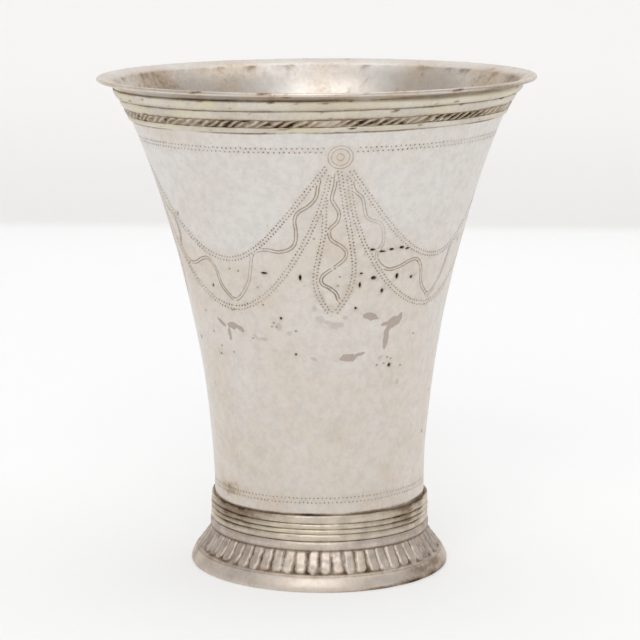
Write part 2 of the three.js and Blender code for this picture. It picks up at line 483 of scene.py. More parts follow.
class Skin:
    """Points of the unrolled wall: angle, height, how deep, how dirty and how darkened by painted shadow,
    and how the surface tips there.
    """

    def __init__(self):
        self.parts = []

    def add(self, angle, z, depth=0.0, dirt_and_shade=0.0, tip=0.0):
        part = np.zeros((len(angle), 6))
        for column, values in enumerate((angle, z, depth, dirt_and_shade)):
            part[:, column] = values
        part[:, 4:] = tip
        self.parts.append(part)

    def add_hollows(self, places, radii, depth, dirt_and_shade, edge_dirt, count, phase=0.0):
        """A hollow at each place, as (angle, height): its middle, a ring on its floor and its edge."""
        angle, z = places.T
        across, up = np.broadcast_to(radii, places.shape).T
        depth, dirt_and_shade, edge_dirt, phase = np.broadcast_arrays(depth, dirt_and_shade, edge_dirt, phase, angle)[:4]
        self.add(angle, z, depth, dirt_and_shade)
        steep = -0.9 * np.repeat(depth / np.minimum(across, up), count)[:, None]
        floor_depth, floor_dirt = 0.75 * np.repeat(depth, count), 0.9 * np.repeat(dirt_and_shade, count)
        floor = ring_of_points(angle, z, across * 0.55, up * 0.55, count, phase)
        self.add(floor[0], floor[1], floor_depth, floor_dirt, floor[2] * steep)
        edge = ring_of_points(angle, z, across, up, count, phase + 0.5)
        self.add(edge[0], edge[1], 0.0, np.repeat(edge_dirt, count), edge[2] * steep * 0.25)

    def table(self):
        return np.vstack(self.parts)

    def tree(self):
        table = self.table()
        return tree_of(on_wall(table[:, 0], table[:, 1]))


def wall_unevenness(angle, z):
    """Gentle hollows and ripples of the hammered wall, in millimetres."""
    return 0.06 * waves(angle, z, 3, 26) + 0.018 * waves(angle, z, 4, 9)


def festoon_height(angle):
    """Height of the upper edge of the festoons."""
    edge = np.vstack([bezier(LEFT_EDGES[0], 40)[::-1], bezier(RIGHT_EDGES[0], 40)])
    return np.interp((angle - MOTIF_ANGLE + 45) % 90 - 45, edge[:, 0], edge[:, 1])


def festoon_stain(angle, z):
    """1 where the pricked lines are stained brown, at the pendants' tips, and less away from there."""
    return sum(swelling(angle, z, middle - 1, 60, 9, 5) for middle in MOTIF_MIDDLES)


def add_dots(skin):
    """Pricked by hand: a little uneven in place, size and depth, and fainter low down."""
    angle, z = pricked_dots()
    angle = turned_into_seam(angle + rng.normal(0, 0.07, len(angle)))
    z = z + rng.normal(0, 0.035, len(z))
    clear = clear_of_seam(angle)
    angle, z = angle[clear], z[clear]
    keep = spread_apart(angle, z, DOT_CLEARANCE)
    angle, z = angle[keep], z[keep]
    strength = rng.uniform(0.45, 1.0, len(angle)) * np.clip(0.8 + 0.35 * waves(angle, z, 9, 14), 0.3, 1.3)
    strength = np.where(z < 20, 0.7 * strength, strength)
    size = DOT_RADIUS * (0.85 + 0.3 * strength)
    phase = rng.uniform(0, 1, len(angle))
    browned = 0.1 + 0.08 * festoon_stain(angle, z)
    skin.add_hollows(np.stack([angle, z], axis=1), size[:, None], DOT_DEPTH * strength,
                     0.22 + 0.45 * strength, browned, DOT_POINTS, phase)


def add_pits(skin):
    """The pits of the front, and scattered ones round the back."""
    spare = rng.uniform((SEAM + 2, 24, 0.25, 0.25), (SEAM + 358, 84, 0.6, 0.6), (60, 4))
    hidden = abs(spare[:, 0] - 10) > 60
    pits = np.vstack([PITS, spare[hidden]])
    pits[:, 0] = turned_into_seam(pits[:, 0])
    radii = pits[:, 2:] * PIT_REACH
    skin.add_hollows(pits[:, :2], radii, PIT_STEEPNESS * radii.min(axis=1), 1.0, 0.15, PIT_POINTS)


def add_specks(skin):
    specks = np.array(SPECKS)
    specks[:, 0] = turned_into_seam(specks[:, 0])
    skin.add_hollows(specks, SPECK_RADII, SPECK_DEPTH, 0.3, 0.05, DOT_POINTS)


def add_joints(skin):
    """Dirt and painted shadow along the joints with the moulding and the collar."""
    angle = SEAM + (np.arange(JOINT_POINTS) + 0.5) * 360 / JOINT_POINTS
    for edge, away in ((RIM_BASE + askew(angle), -1), (np.full_like(angle, COLLAR_TOP), 1)):
        dirt_and_shade = np.clip(0.45 + 0.4 * waves(angle, edge, 13, 9), 0.1, 1)
        skin.add(angle, edge + 0.12 * away, 0, dirt_and_shade)
        skin.add(angle, edge + 0.5 * away, 0, 0.05)


def add_lines(skin):
    """The engraved lines, each a groove between two edges, where no dot is in the way."""
    taken = skin.tree()
    for line in engraved_lines():
        path_angle, z, direction = walk(line, LINE_STEP)
        angle = turned_into_seam(path_angle)
        free = np.array([taken.find(spot)[2] > LINE_CLEARANCE for spot in on_wall(angle, z)])
        free &= clear_of_seam(angle)
        faint = np.clip(0.75 + 0.25 * waves(path_angle, z, 12, 14), 0.45, 1)
        faint = faint * (0.8 + 0.2 * (z < ROSETTE[1] - 3)) + 0.3 * festoon_stain(path_angle, z)
        for side, depth, dirt_and_shade in ((0, LINE_DEPTH, 0.46), (-1, 0.0, 0.06), (1, 0.0, 0.06)):
            away = side * LINE_HALF_WIDTH
            beside = angle - np.degrees(direction[:, 1] * away / wall_radius(z))
            above = z + direction[:, 0] * away
            skin.add(beside[free], above[free], depth * faint[free], dirt_and_shade * faint[free])


def add_spaces(skin):
    """Even rows of points over the rest of the wall."""
    taken = skin.tree()
    rows = round((SKIN_TOP - SKIN_BASE) / (SKIN_STEP * 0.87))
    for n, level in enumerate(np.linspace(SKIN_BASE, SKIN_TOP, rows + 1)[1:-1]):
        count = round(360 / math.degrees(SKIN_STEP / wall_radius(level)))
        spread = SEAM + (np.arange(count) + 0.25 + 0.5 * (n % 2)) * 360 / count
        free = [taken.find(spot)[2] > SPACE_CLEARANCE for spot in on_wall(spread, level)]
        skin.add(spread[free], level)


def skin_points():
    skin = Skin()
    for add in (add_dots, add_pits, add_specks, add_joints, add_lines, add_spaces):
        add(skin)
    return skin.table()


def make_skin():
    """The wall's points, its triangles, and each corner's place on the unrolled wall.
    The first COLUMNS points are the lower edge and the next COLUMNS the upper edge."""
    free = skin_points()
    edge_angles = SEAM + np.arange(COLUMNS + 1) * 360 / COLUMNS
    side_levels = np.linspace(SKIN_BASE, SKIN_TOP, round((SKIN_TOP - SKIN_BASE) / 0.8) + 1)[1:-1]

    def edge(angle, z):
        places = np.stack(np.broadcast_arrays(angle, z), axis=1)
        return np.pad(places, ((0, 0), (0, 4)))

    table = np.vstack([
        edge(edge_angles[:-1], SKIN_BASE),
        edge(edge_angles[:-1], SKIN_TOP),
        edge(SEAM, side_levels),
        free,
        edge(SEAM + 360, side_levels),
        edge(SEAM + 360, np.array([SKIN_BASE, SKIN_TOP])),
    ])
    flat = np.column_stack([np.radians(table[:, 0]) * FLAT_RADIUS, table[:, 1]])
    found = geometry.delaunay_2d_cdt([Vector(p) for p in flat], [], [], 0, 1e-6)
    source = np.array([origins[0] for origins in found[3]])
    triangles = source[np.array(found[2])]
    corners = flat[triangles]
    area = np.cross(corners[:, 1] - corners[:, 0], corners[:, 2] - corners[:, 0])
    triangles = triangles[np.abs(area) > 1e-7]

    # The far side of the seam takes the near side's points
    same = np.arange(len(table))
    sides = len(side_levels)
    last = len(table) - 2
    same[last - sides:last] = np.arange(2 * COLUMNS, 2 * COLUMNS + sides)
    same[last:] = (0, COLUMNS)
    uvs = flat[triangles.reshape(-1)] / SKIN_UNIT
    return table[:last - sides], same[triangles], uvs


def bottom_rings(radius, base):
    """From the foot of a wall round its corner and along a flat bottom, as rows of (radius, height)."""
    corner = arc(radius - CORNER, base + CORNER, CORNER, 0, -90, 5)
    return np.vstack([corner, [(radius * share, base) for share in (0.8, 0.55, 0.3, 0.1)]])


def lip_rings():
    """From the skin's upper edge to the lip and round its edge, as rows of (radius, height)."""
    levels = np.linspace(SKIN_TOP, MOUTH_Z, 9)[1:]
    under_lip = bezier([
        (MOUTH_RADIUS, MOUTH_Z),
        (MOUTH_RADIUS + 0.5, MOUTH_Z + 0.5),
        (LIP_RADIUS - 1.7, HEIGHT - LIP_THICKNESS - 0.15),
        (LIP_RADIUS - LIP_EDGE, HEIGHT - LIP_THICKNESS),
    ], 8)[1:-1]
    edge = arc(LIP_RADIUS - LIP_EDGE, HEIGHT - LIP_EDGE, LIP_EDGE, -90, 90, 9)
    return np.vstack([np.column_stack([wall_radius(levels), levels]), under_lip, edge])


def inside_rings():
    """Over the lip, down the inside and along the floor, as rows of (radius, height)."""
    levels = np.linspace(MOUTH_Z, WAIST_Z - 2, 66)
    slope = wall_slope(levels)
    rise = np.sqrt(1 + slope**2)
    inside = np.column_stack([wall_radius(levels) - WALL / rise, levels + WALL * slope / rise])
    over_lip = bezier([
        (LIP_RADIUS - LIP_EDGE, HEIGHT),
        (LIP_RADIUS - 1.6, HEIGHT - 0.1),
        (MOUTH_RADIUS + 0.2, HEIGHT - 0.5),
        tuple(inside[0]),
    ], 10)[1:-1]
    return np.vstack([over_lip, inside, bottom_rings(WAIST_RADIUS - WALL, BODY_BASE + BOTTOM)])


# What each part of the surface is like: three masks, in the order of MASKS

def skin_masks(table):
    """Cool and clean above the festoons, and warmer from there down."""
    angle, z = table[:, 0], table[:, 1]
    below = np.clip((festoon_height(angle) - z) / 7 + 0.5, 0, 1)
    warm = 0.05 + 0.18 * below + 0.1 * np.clip((50 - z) / 30, 0, 1)
    warm += 0.08 * waves(angle, z, 51, 17) + 0.04 * waves(angle, z, 58, 6)
    yellow = 0.5 * swelling(angle, z, -55, 17.5, 7, 2)
    for middle in MOTIF_MIDDLES:
        warm += 0.1 * swelling(angle, z, middle, 68, 9, 9) + 0.1 * swelling(angle, z, middle + 34, 62, 13, 7)
        warm += 0.3 * swelling(angle, z, middle + ROSETTE[0], ROSETTE[1], 3.6, 2.4)
        yellow += 0.6 * swelling(angle, z, middle - 0.5, 57.5, 4, 1.5)
        yellow += 0.4 * swelling(angle, z, middle - 6.5, 62.6, 2, 1.6)
    warm += 0.35 * swelling(angle, z, -56, 17.5, 11, 2.5) + 0.2 * swelling(angle, z, -65, 62, 8, 9)
    warm += 0.3 * swelling(angle, z, -52, 90.5, 16, 1.6)
    dirt_and_shade = table[:, 3] + 0.16 * swelling(angle, z, -57, 17.8, 9, 1.6)
    dirt_and_shade = dirt_and_shade + 0.05 * swelling(angle, z, -66, 62, 7, 9)
    return dirt_and_shade, warm, yellow


def lip_masks(angle, profile):
    """The joint over the moulding is dark, partly dirty and partly a painted shadow of the lip above it, and
    the edge of the lip is rubbed and browner in front.
    """
    z = profile[:, 1:]
    angle = angle[None]
    patchy = waves(angle, z, 52, 8)
    low = z - MOUTH_Z - askew(angle)
    # A dark line on the neck just above the moulding: partly a dirty joint, partly painted shadow under the
    # lip's edge
    joint = np.exp(-(((low - 0.03) / 0.2) ** 2)) * np.clip(0.3 + 0.25 * waves(angle, 0, 59, 6), 0.05, 0.8)
    marks = np.clip(waves(angle, 3 * z, 56, 3.5) - 0.75, 0, 1) * np.clip((z - MOUTH_Z - 0.5) / 0.4, 0, 1)
    front = facing(angle, 5, 75)
    tarnish_and_shading = 0.3 + 0.2 * front + 0.25 * patchy
    under = np.clip((HEIGHT - 0.25 - z) / 0.3, 0, 1) * np.clip(0.6 + 0.3 * patchy, 0.2, 1)
    browned = 0.5 * under * facing(angle, 58, 22)
    return joint + marks + 0.06 * front + browned, tarnish_and_shading, np.zeros_like(patchy)


def inside_masks(angle, profile):
    """Browner than the outside, with darker spots below the lip, and paler on the lip itself. The far inside
    wall is painted paler and less tarnished across and beside the softbox's reflection, a painted highlight,
    and darker at two places towards the sides, a painted shade.
    """
    radius, z = profile[:, :1], profile[:, 1:]
    angle = angle[None]
    patchy = waves(angle, z, 53, 9)
    lip = np.clip((radius - MOUTH_RADIUS + 0.6) / 1.2, 0, 1)
    front = facing(angle, 5, 75)
    # A painted highlight: the far inside wall is paler and less tarnished where the front softbox's
    # reflection runs down it, and to either side of that
    bright = facing(angle, 184, 22)
    painted_highlight = 0.3 * bright + 1.1 * facing(angle, 148, 18) + 0.5 * facing(angle, 208, 12)
    ends = facing(angle, 90, 25) + facing(angle, -90, 25)
    # Darker all over the inside wall, less so under the painted highlight, and darker still at two places
    # towards the sides, a painted shade
    dull_and_shade = 0.12 + 0.03 * patchy + 0.03 * waves(angle, z, 62, 4) - 0.1 * painted_highlight
    dull_and_shade = dull_and_shade + 0.2 * facing(angle, 93, 12) + 0.08 * facing(angle, 236, 14)
    tarnish_and_shading = (0.62 + 0.25 * patchy - 0.2 * painted_highlight - 0.4 * bright) * (1 - lip)
    tarnish_and_shading = tarnish_and_shading + lip * (0.15 + 0.35 * front + 0.15 * patchy)
    spots = np.clip(waves(angle, z, 54, 2, 24) - 0.9, 0, 1) * np.clip((z - 80) / 15, 0.1, 1)
    line = np.exp(-(((z - MOUTH_Z - 0.4) / 0.35) ** 2)) * np.clip(waves(angle, z, 63, 3), 0, 1) * (1 - lip)
    marks = np.clip(waves(angle, 3 * radius, 57, 3) - 0.9, 0, 1) * lip * front
    dirt_and_shade = 0.45 * spots + 0.35 * line + 0.9 * marks + dull_and_shade * (1 - lip) + (0.1 * front + 0.08 * ends) * lip
    wall = np.clip((z - BODY_BASE - BOTTOM) / 3, 0, 1)
    dirt_and_shade = dirt_and_shade * wall + 0.14 * (1 - wall)
    tarnish_and_shading = tarnish_and_shading * wall + 0.65 * (1 - wall)
    return dirt_and_shade, tarnish_and_shading, np.zeros_like(patchy)


def skin_shape(table):
    """Points of the pricked and slightly uneven wall, and the direction in which each of them faces."""
    angle, z, depth = table[:, 0], table[:, 1], table[:, 2]
    slope = wall_slope(z)
    rise = np.sqrt(1 + slope**2)
    sine, cosine = np.sin(np.radians(angle)), np.cos(np.radians(angle))
    outward = np.stack([sine / rise, -cosine / rise, -slope / rise], axis=1)
    aside = np.stack([cosine, sine, np.zeros(len(angle))], axis=1)
    upward = np.stack([slope * sine / rise, -slope * cosine / rise, 1 / rise], axis=1)
    fade = np.clip(np.minimum(z - SKIN_BASE, SKIN_TOP - z) / 3, 0, 1)
    uneven = wall_unevenness(angle, z)
    points = on_wall(angle, z) + outward * (uneven * fade - depth)[:, None]
    step = 0.2
    tip_aside = (wall_unevenness(angle + np.degrees(step / wall_radius(z)), z) - uneven) / step * fade
    tip_up = (wall_unevenness(angle, z + step) - uneven) / step * fade
    faced = outward - aside * (tip_aside - table[:, 4])[:, None] - upward * (tip_up - table[:, 5])[:, None]
    return points, faced / np.linalg.norm(faced, axis=1, keepdims=True)


def turned_rings(profile, angle):
    """Rings of points, slightly dented where they are the wall's inside."""
    radius, z = profile[:, :1], profile[:, 1:]
    dents = 0.07 * waves(angle[None], z, 5, 22) * np.clip(np.minimum(90 - z, z - 13) / 5, 0, 1)
    return around(radius + dents, angle[None], z).reshape(-1, 3)


def make_body(material):
    """The skin, and turned rings joined to its lower and upper edges."""
    table, triangles, uvs = make_skin()
    skin, skin_normals = skin_shape(table)
    angle = SEAM + np.arange(COLUMNS) * 360 / COLUMNS
    below = np.vstack([[(WAIST_RADIUS, BODY_BASE + 2.5)], bottom_rings(WAIST_RADIUS, BODY_BASE)])
    outer, inner = lip_rings(), inside_rings()
    above = np.vstack([outer, inner])
    plain = np.zeros((3, len(below) * COLUMNS))
    parts = zip(skin_masks(table), plain, lip_masks(angle, outer), inside_masks(angle, inner))
    masks = [np.concatenate([values.ravel() for values in part]) for part in parts]

    points, groups, corner_uvs, caps = [skin], [triangles], [uvs], []
    for profile, edge, edge_z, flip in ((below, 0, SKIN_BASE, True), (above, COLUMNS, SKIN_TOP, False)):
        start = sum(len(part) for part in points)
        rings = start + np.arange(len(profile) * COLUMNS).reshape(-1, COLUMNS)
        index = np.vstack([edge + np.arange(COLUMNS), rings])
        quads = grid_faces(len(index), COLUMNS, False, flip)
        corners = quads.ravel()
        levels = np.concatenate([[edge_z], profile[:, 1]])
        across = np.radians(angle[corners % COLUMNS]) * FLAT_RADIUS
        corner_uvs.append(np.column_stack([across, levels[corners // COLUMNS]]) / SKIN_UNIT)
        points.append(turned_rings(profile, angle))
        groups.append(index.ravel()[quads])
        caps.append((rings[-1][::-1] if flip else rings[-1]).tolist())
    corner_uvs.append(np.zeros((len(caps) * COLUMNS, 2)))

    points = np.vstack(points)
    normals = smooth_normals(points, groups)
    normals[:len(skin)] = skin_normals
    faces = [face for group in groups for face in group.tolist()] + caps
    make_piece("silver_body", "body", material, settle(points, True), faces, masks,
               lean_directions(normals), np.vstack(corner_uvs))


# The turned bands: the rim moulding, the collar and the foot

def wires_side(wires, notch, base):
    """Rows up a band of half-round wires: height, relief, which wire, how far up it, how near its crest."""
    rows = []
    for n, (tall, relief) in enumerate(wires):
        for share in np.arange(WIRE_STEPS + (n == len(wires) - 1)) / WIRE_STEPS:
            up, crest = (1 - math.cos(math.pi * share)) / 2, math.sin(math.pi * share)
            rows.append((base + tall * up, notch + (relief - notch) * crest, n, up, crest))
        base += tall
    return np.array(rows).T[:, :, None]


def with_back(values, rows, columns, back=0.0):
    """Adds the rows of a band's hidden back, where each value is the same."""
    front = np.broadcast_to(values, (len(values), columns))
    return np.vstack([front, np.full((rows - len(values), columns), back)])


def make_band(name, node, material, points, masks, leaning=False):
    """A closed band of rows of points, of which the masks may leave out the last ones, at its back."""
    rows, columns = points.shape[:2]
    masks = [with_back(values, rows, columns) for values in masks]
    faces = grid_faces(rows, columns, True).tolist()
    make_piece(name, node, material, settle(points.reshape(-1, 3), leaning), faces, masks)


def rope_grooves(angle, up, crest):
    """How deep the strokes of the rope are, from 0 to 1, if a wire has them."""
    strand = angle * ROPE_STROKES / 360 - 1.2 * (up - 0.5) + 0.3 * waves(angle, 0, 21, 9)
    strand += 0.12 * waves(angle, 2 * up, 27, 2)
    force = 0.6 + 0.5 * waves(angle, up, 23, 9) + 0.25 * facing(angle, 38, 20)
    return np.abs(np.cos(math.pi * strand)) ** 1.8 * crest**0.6 * np.clip(force, 0.15, 1)


def rim_masks(angle, z, wire, up, crest, groove):
    """Dark between the wires and in the rope, with painted shade on the lower side of the upper wires and
    the rope, and gilded in patches.
    """
    is_rope = wire == ROPE_WIRE
    is_top = wire == len(RIM_WIRES) - 1
    low = np.clip(1 - up / 0.5, 0, 1)
    joins = (1 - crest) ** 2.5 * np.clip(0.6 + 0.6 * waves(angle, 9 * wire, 24, 6), 0.05, 1)
    joins = joins * (1 - 0.6 * is_top * (up > 0.5))
    # Painted shade: the lower half of each of the two upper wires is darkened
    shade = 0.36 * low * np.clip(0.6 + 0.5 * waves(angle, 9 * wire + 2 * up, 29, 9), 0, 1) * (wire > 1)
    flecks = 0.8 * np.clip(waves(angle, 3 * z, 38, 2.4) - 0.9, 0, 1)
    # The rope's strokes are dirty, and the rope wire is darker towards its lower edge, a painted shade
    rope_dirt_and_shade = groove * (0.75 + 0.35 * waves(angle, up, 28, 7)) + (0.1 + 0.12 * (1 - up)) * is_rope
    # On the top wire, less gilt and a more tarnished colour on its lower half are a painted shade
    gilt = 0.48 + 0.5 * waves(angle, 7 * wire + 3 * up, 25, 11) - 0.3 * is_top * low
    tarnish_and_shading = 0.14 + 0.15 * waves(angle, 5 * wire + 4 * up, 26, 10) + 0.15 * is_top * low
    return rope_dirt_and_shade + joins + shade + flecks, tarnish_and_shading, gilt


def make_rim_moulding(material):
    columns = 1000
    angle = turned_angles(columns)
    z, relief, wire, up, crest = wires_side(RIM_WIRES, RIM_NOTCH, RIM_BASE)
    is_rope = wire == ROPE_WIRE
    groove = rope_grooves(angle, up, crest) * is_rope
    rough = 0.06 * waves(angle, z, 22, 7) + 0.04 * waves(angle, z, 30, 2.5)
    relief = relief - ROPE_DEPTH * groove + rough * crest + 0.03 * waves(angle, z, 64, 1.2) * is_rope
    masks = rim_masks(angle, z, wire, up, crest, groove)
    z = np.vstack([z, np.linspace(MOUTH_Z, RIM_BASE, BACK_ROWS)[:, None]]) + askew(angle)
    relief = with_back(relief, len(z), columns, RIM_JOINT)
    slope = wall_slope(z)
    rise = np.sqrt(1 + slope**2)
    points = around(wall_radius(z) + relief / rise, angle, z - relief * slope / rise)
    make_band("gilt_rim_moulding", "rim_moulding", material, points, masks, leaning=True)


def collar_masks(angle, z, wire, up, crest, dull_and_shade, crushed):
    """Dark between the wires, and darker and more tarnished where the collar turns away to either side,
    partly tarnishing and partly painted shade.
    """
    dark = np.clip(0.55 + 0.45 * waves(angle, 9 * wire, 34, 7) + 0.3 * dull_and_shade, 0.15, 1)
    joins = (1 - crest) ** (2.8 - 1.5 * dull_and_shade) * dark * (1 - 0.8 * (wire == 0) * (up < 0.5))
    streaks = np.clip(waves(angle, 12 * (wire + up), 37, 6), 0, 1)
    dirt_and_shade = joins + dull_and_shade * (0.15 + 0.35 * streaks) * np.clip((wire + up) / 2, 0.2, 1) + 0.15 * crushed
    tarnish_and_shading = 0.08 + 0.6 * dull_and_shade * np.clip(wire / 2, 0.4, 1) + 0.15 * waves(angle, z, 35, 6)
    return dirt_and_shade, tarnish_and_shading, 0.15 + 0.4 * waves(angle, 4 * z, 36, 16)


def make_collar(material):
    columns = 480
    angle = turned_angles(columns)
    z, relief, wire, up, crest = wires_side(COLLAR_WIRES, COLLAR_NOTCH, COLLAR_BASE)
    crushed = facing(angle, -48, 22) * (wire == len(COLLAR_WIRES) - 1)
    # Where the collar turns away to either side it is painted darker: partly tarnishing, partly painted
    # shade
    dull_and_shade = facing(angle, -54, 24) + 0.9 * facing(angle, 52, 17)
    relief = relief + (0.08 * waves(angle, z, 31, 6) + 0.04 * waves(angle, z, 65, 2.5)) * crest
    relief = relief - 0.15 * crushed * (1 + waves(angle, z, 33, 5))
    masks = collar_masks(angle, z, wire, up, crest, dull_and_shade, crushed)
    z = np.vstack([z, np.linspace(COLLAR_TOP, COLLAR_BASE, BACK_ROWS)[:, None]])
    relief = with_back(relief, len(z), columns, JOINT)
    lift = with_back(-0.2 * crushed, len(z), columns)
    points = around(WAIST_RADIUS + relief, angle, z + lift)
    make_band("wired_collar", "collar", material, points, masks)


TONGUE_START = 0.9
TONGUE_COLUMNS = 14
FOOT_EDGE_ROWS = 5


def tongue_field(angle, up, length, radius):
    """How far a point lies inside the outline of its tongue. Up is measured along the slope."""
    pitch = 360 / TONGUES
    index = np.floor(angle / pitch)
    random = np.random.default_rng(41)
    shift, width, tilt, end = random.normal(0, 1, (4, TONGUES))[:, index.astype(int) % TONGUES]
    middle = (index + 0.5) * pitch
    along = up - (length + TONGUE_START) / 2
    across = np.radians(angle - middle) * radius + 0.08 * shift + 0.05 * tilt * along
    across = across + 0.09 * waves(angle, 3 * up, 47, 2.6)
    half_width = np.radians(pitch) * radius * (0.465 + 0.02 * width)
    half_length = (length - TONGUE_START) / 2 + 0.1 * end
    round_off = np.where(along < 0, 1.0, 0.5)
    dx = np.maximum(np.abs(across) - (half_width - round_off), 0)
    dy = np.maximum(np.abs(along) - (half_length - round_off), 0)
    return round_off - np.hypot(dx, dy)


def foot_profile():
    """The foot's outline, as rows of (radius, height), and the row where its tongues start and end."""
    bead_base = FOOT_HEIGHT - BEAD_HEIGHT
    flange_top = FOOT_RADIUS - FLANGE_INSET
    edge = arc(FOOT_RADIUS - FOOT_EDGE, FOOT_EDGE, FOOT_EDGE, -90, 0, FOOT_EDGE_ROWS)
    flange = bezier([
        (FOOT_RADIUS, FOOT_EDGE),
        (FOOT_RADIUS, FOOT_EDGE + 0.7),
        (flange_top + 0.35, FLANGE_HEIGHT - 0.7),
        (flange_top, FLANGE_HEIGHT),
    ], 7)[1:]
    share = np.linspace(0, 1, 24)[1:-1]
    slope = flange_top + (FOOT_TOP_RADIUS - flange_top) * share - FOOT_HOLLOW * np.sin(math.pi * share)
    tongues = np.column_stack([slope, FLANGE_HEIGHT + (bead_base - FLANGE_HEIGHT) * share])
    turn = np.linspace(0, math.pi, 11)
    bead = np.column_stack([
        FOOT_TOP_RADIUS + BEAD_RELIEF * np.sin(turn),
        bead_base + BEAD_HEIGHT * (1 - np.cos(turn)) / 2,
    ])
    seat = WAIST_RADIUS - FOOT_SEAT
    inside = np.array([
        (seat, FOOT_HEIGHT),
        (seat, bead_base + BEAD_HEIGHT / 2),
        (FOOT_TOP_RADIUS - FOOT_WALL * 1.1, bead_base),
        ((FOOT_TOP_RADIUS + flange_top) / 2 - FOOT_WALL * 1.3, (bead_base + FLANGE_HEIGHT) / 2),
        (flange_top - FOOT_WALL * 1.1, FLANGE_HEIGHT * 0.75),
        (FOOT_RADIUS - FOOT_EDGE - FOOT_WALL * 0.7, 0),
    ])
    first = len(edge) + len(flange)
    return np.vstack([edge, flange, tongues, bead, inside]), first, first + len(tongues)


def foot_masks(angle, z, up, inside_tongue, rows):
    """Dark round the tongues, darker and more tarnished to either side, partly tarnishing and partly painted
    shade, and stained along the flange on the right.
    """
    # Away from the front the foot is painted more tarnished: partly tarnishing, partly painted shade where
    # it turns from the light
    sides = 1 - facing(angle, 2, 45)
    deep = np.clip(1 - inside_tongue / 0.16, 0, 1) * np.clip((up - 0.5) / 0.4, 0.1, 1)
    dirt_and_shade = np.zeros_like(z)
    dirt_and_shade[rows] = deep * (0.58 + 0.25 * waves(angle, up, 43, 3) - 0.25 * sides)
    dirt_and_shade[rows.stop - 1:rows.stop + 2] = 0.3
    dirt_and_shade[rows.start] = 0.2
    flange = z[:rows.start]
    stained = 0.75 * facing(angle, 44, 30) * np.clip(1.3 - flange / 0.7, 0, 1)
    stained = stained + 0.4 * facing(angle, 60, 18)
    dirt_and_shade[:rows.start] = stained * np.clip(0.75 + 0.45 * waves(angle, 4 * flange, 44, 7), 0, 1)
    tarnish_and_shading = 0.1 + 0.4 * sides + 0.14 * waves(angle, z, 45, 5)
    tarnish_and_shading[:rows.start] -= 0.2
    gilt = 0.8 * swelling(angle, z, 22, 4.6, 3.5, 2) + 0.15 * np.clip(waves(angle, z, 46, 8), 0, 1)
    return dirt_and_shade, tarnish_and_shading, gilt


def make_foot(material):
    columns = TONGUES * TONGUE_COLUMNS
    angle = turned_angles(columns)
    profile, first, last = foot_profile()
    rows = slice(first, last)
    radius = np.repeat(profile[:, :1], columns, axis=1)
    z = np.repeat(profile[:, 1:], columns, axis=1)
    run = np.hypot(*(profile[last - 1] - profile[first])) * 1.06
    up = np.linspace(0, run, last - first + 2)[1:-1, None]
    inside_tongue = tongue_field(angle, up, run, profile[rows, :1])
    rise = np.clip(inside_tongue / 0.5 + 0.15, 0, 1)
    rise = rise * rise * (3 - 2 * rise)
    fillet = np.exp(-(((up - 0.45) / 0.3) ** 2))
    out = np.maximum(rise, 0.75 * fillet) * (TONGUE_RELIEF + TONGUE_GROOVE) - TONGUE_GROOVE
    out = out + 0.06 * waves(angle, 1.5 * up, 48, 2.2) * rise
    radius[rows] += out * 0.8
    z[rows] += out * 0.5
    radius[FOOT_EDGE_ROWS:first] += 0.05 * waves(angle, profile[FOOT_EDGE_ROWS:first, 1:], 42, 11)
    masks = foot_masks(angle, z, up, inside_tongue, rows)
    make_band("tongued_foot", "foot", material, around(radius, angle, z), masks)


# Materials

class Shader:
    """A new material with one Principled shader, and short ways to add the nodes that feed it."""

    def __init__(self, name):
        self.material = bpy.data.materials.new(name)
        self.material.use_nodes = True
        self.nodes = self.material.node_tree.nodes
        self.links = self.material.node_tree.links
        self.principled = self.nodes["Principled BSDF"]

    def node(self, kind, inputs=(), **settings):
        made = self.nodes.new(kind)
        for key, value in settings.items():
            setattr(made, key, value)
        for key, value in dict(inputs).items():
            self.set(made.inputs[key], value)
        return made

    def set(self, socket, value):
        if isinstance(value, bpy.types.NodeSocket):
            self.links.new(value, socket)
        else:
            socket.default_value = value

    def math(self, operation, a, b, clamp=False):
        return self.node("ShaderNodeMath", {0: a, 1: b}, operation=operation, use_clamp=clamp).outputs[0]

    def times(self, a, b, clamp=False):
        return self.math("MULTIPLY", a, b, clamp)

    def plus(self, a, b, clamp=False):
        return self.math("ADD", a, b, clamp)

    def mask(self, name):
        return self.node("ShaderNodeAttribute", attribute_name=name).outputs["Fac"]

    def spread(self, value, low, high):
        """0 below low, 1 above high, and smooth between."""
        return self.node("ShaderNodeMapRange", {"Value": value, "From Min": low, "From Max": high},
                         interpolation_type="SMOOTHSTEP").outputs[0]

    def noise(self, vector, size, detail, roughness):
        """Noise whose bumps are about size millimetres long, on coordinates in metres."""
        return self.node("ShaderNodeTexNoise", {
            "Vector": vector, "Scale": 1 / (size * MM), "Detail": detail, "Roughness": roughness,
        }).outputs["Fac"]

    def mix(self, factor, first, second, blend="MIX"):
        made = self.node("ShaderNodeMix", data_type="RGBA", blend_type=blend)
        for index, value in ((0, factor), (6, first), (7, second)):
            self.set(made.inputs[index], value)
        return made.outputs[2]

    def feed(self, name, value):
        self.set(self.principled.inputs[name], value)


def rgb(red, green, blue):
    """A colour as the eye reads it, 0 to 255, turned into light."""
    def light(v):
        v = v / 255
        return v / 12.92 if v <= 0.04045 else ((v + 0.055) / 1.055) ** 2.4
    return (light(red), light(green), light(blue), 1.0)


GILDING = rgb(219, 209, 182)
GREY_BLOTCH = rgb(184, 182, 179)
FAINT_STAIN = rgb(126, 116, 104)
BROWN_STAIN = rgb(150, 128, 114)
DARK_SPECK = rgb(118, 104, 90)
# These two colours are for dirty places and also for painted shade and shadow: under the lip, on the lower
# side of the rim's wires, along the body's joints and towards the sides of the collar and the inside
THIN_DIRT_AND_SHADE = rgb(142, 120, 96)
THICK_DIRT_AND_SHADE = rgb(60, 48, 38)


